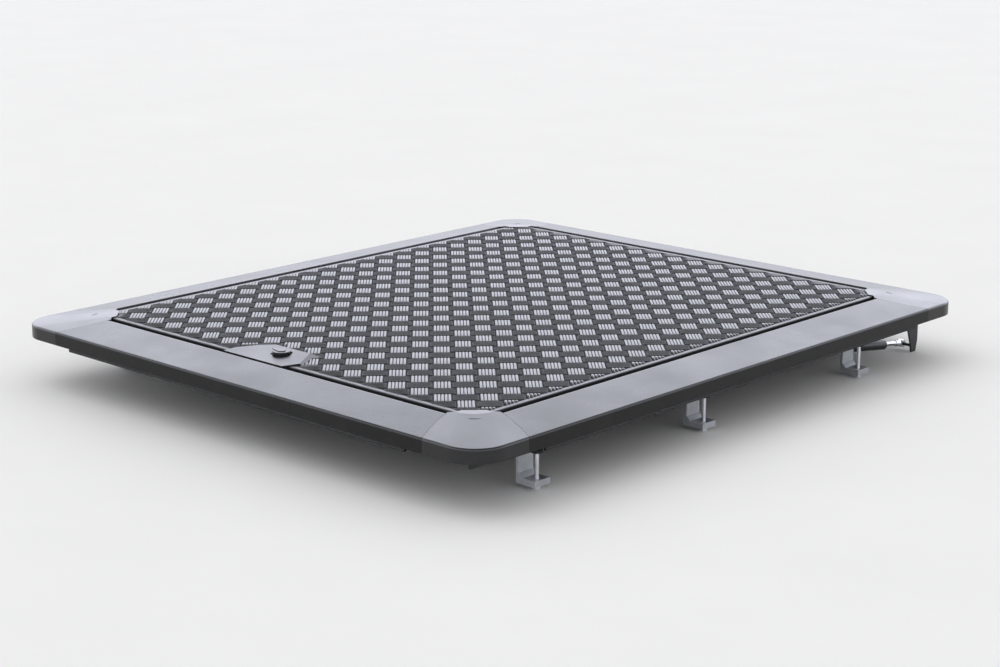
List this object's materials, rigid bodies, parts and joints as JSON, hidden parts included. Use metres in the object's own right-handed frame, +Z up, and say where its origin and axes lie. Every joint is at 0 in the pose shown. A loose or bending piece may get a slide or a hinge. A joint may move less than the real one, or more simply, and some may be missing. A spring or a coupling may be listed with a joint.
{
  "type": "tonneau cover",
  "caption": "Hinged hard tonneau cover: recessed tread plate in an aluminium frame with moulded corner caps, turn-handle lock, gas struts and clamp-on side rails.",
  "frame": {"origin": "under the middle of the closed lid, level with the lowest points of the clamps and strut brackets", "axes": "+X to the vehicle's right, +Y towards the cab, +Z up; the lid hinges at its +Y edge"},
  "size_m": [1.35, 1.554, 0.1578],
  "materials": {
    "profile_coat": "satin black powder coat on extruded aluminium, fine texture",
    "cap_plastic": "satin black moulded plastic",
    "tread_coat": "black coated aluminium tread plate with raised five-bar pattern",
    "rail_coat": "black powder coat",
    "zinc_plate": "bright zinc plating",
    "cast_alu": "mill-finish extruded aluminium",
    "steel": "ground steel",
    "rubber": "black EPDM",
    "nylon": "black nylon",
    "lock_coat": "satin black coating on die-cast metal"
  },
  "bodies": {
    "base": {"side_rail_left": "rail_coat", "side_rail_right": "rail_coat", "front_rail": "rail_coat", "rail_corner_plates": "rail_coat", "rail_bolts": "zinc_plate", "rail_tapes": "rubber", "rail_bulb_seals": "rubber", "rest_buffers": "rubber", "hinge_lower_leaf_left": "rail_coat", "hinge_lower_leaf_right": "rail_coat", "hinge_pins": "steel", "strut_base_brackets": "rail_coat", "strikers": "zinc_plate", "bed_clamps": "cast_alu", "clamp_screws": "zinc_plate", "clamp_pads": "rubber", "clamp_bolts": "zinc_plate"},
    "lid": {"tread_plate": "tread_coat", "profile_rear": "profile_coat", "profile_front": "profile_coat", "profile_left": "profile_coat", "profile_right": "profile_coat", "corner_cap_rear_left": "cap_plastic", "corner_cap_rear_right": "cap_plastic", "corner_cap_front_left": "cap_plastic", "corner_cap_front_right": "cap_plastic", "corner_keys": "cast_alu", "corner_key_screws": "zinc_plate", "plate_bond_strip": "rubber", "cross_ribs": "cast_alu", "blind_rivets": "zinc_plate", "skirt_seal_rear": "rubber", "skirt_seal_left": "rubber", "skirt_seal_right": "rubber", "hinge_upper_leaf_left": "rail_coat", "hinge_upper_leaf_right": "rail_coat", "lid_bolts": "zinc_plate", "strut_lid_bracket_left": "rail_coat", "strut_lid_bracket_right": "rail_coat", "lock_escutcheon": "lock_coat", "lock_gasket": "rubber", "lock_housing": "nylon", "lock_bottom_cover": "nylon", "lock_screws": "zinc_plate", "rod_guides": "nylon"},
    "lock_handle": {"lock_knob": "lock_coat", "lock_spindle": "steel", "lock_cam": "zinc_plate"},
    "key_plug": {"key_barrel": "steel"},
    "keyhole_cover": {"dust_cover": "lock_coat"},
    "latch_left": {"latch_rod_left": "zinc_plate", "rod_tip_left": "nylon"},
    "latch_right": {"latch_rod_right": "zinc_plate", "rod_tip_right": "nylon"},
    "strut_rod_left_body": {"strut_rod_left": "steel"},
    "strut_rod_right_body": {"strut_rod_right": "steel"},
    "strut_tube_left_body": {"strut_cylinder_left": "rail_coat", "strut_gland_left": "rubber"},
    "strut_tube_right_body": {"strut_cylinder_right": "rail_coat", "strut_gland_right": "rubber"}
  },
  "joints": [
    {"name": "lid_hinge", "type": "hinge", "parent": "base", "child": "lid", "pos_m": [0, 0.768, 0.11], "axis": [-1, 0, 0], "range_deg": [0, 30]},
    {"name": "strut_tilt_left", "type": "hinge", "parent": "base", "child": "strut_rod_left_body", "pos_m": [-0.548, 0.74212, 0.01341], "axis": [-1, 0, 0], "range_deg": [0, 29.59]},
    {"name": "strut_slide_left", "type": "slide", "parent": "strut_rod_left_body", "child": "strut_tube_left_body", "axis": [0, -0.9893, 0.1458], "range_m": [0, 0.0517]},
    {"name": "strut_tilt_right", "type": "hinge", "parent": "base", "child": "strut_rod_right_body", "pos_m": [0.548, 0.74212, 0.01341], "axis": [-1, 0, 0], "range_deg": [0, 29.59]},
    {"name": "strut_slide_right", "type": "slide", "parent": "strut_rod_right_body", "child": "strut_tube_right_body", "axis": [0, -0.9893, 0.1458], "range_m": [0, 0.0517]},
    {"name": "handle_turn", "type": "hinge", "parent": "lid", "child": "lock_handle", "pos_m": [-0.016, -0.612, 0.15], "axis": [0, 0, -1], "range_deg": [0, 90]},
    {"name": "latch_slide_left", "type": "slide", "parent": "lid", "child": "latch_left", "axis": [-1, 0, 0], "range_m": [0, 0.0283]},
    {"name": "latch_slide_right", "type": "slide", "parent": "lid", "child": "latch_right", "axis": [1, 0, 0], "range_m": [0, 0.0283]},
    {"name": "key_turn", "type": "hinge", "parent": "lock_handle", "child": "key_plug", "pos_m": [-0.016, -0.612, 0.15], "axis": [0, 0, 1], "range_deg": [0, 90]},
    {"name": "keyhole_cover_swing", "type": "hinge", "parent": "lock_handle", "child": "keyhole_cover", "pos_m": [-0.029, -0.612, 0.155], "axis": [0, 0, 1], "range_deg": [0, 100]}
  ],
  "couplings": [
    {"joint": "strut_tilt_left", "follows": "lid_hinge", "ratio": 0.98465},
    {"joint": "strut_slide_left", "follows": "lid_hinge", "m_per_rad": 0.098544},
    {"joint": "strut_tilt_right", "follows": "lid_hinge", "ratio": 0.98465},
    {"joint": "strut_slide_right", "follows": "lid_hinge", "m_per_rad": 0.098544},
    {"joint": "latch_slide_left", "follows": "handle_turn", "m_per_rad": 0.018},
    {"joint": "latch_slide_right", "follows": "handle_turn", "m_per_rad": 0.018}
  ]
}
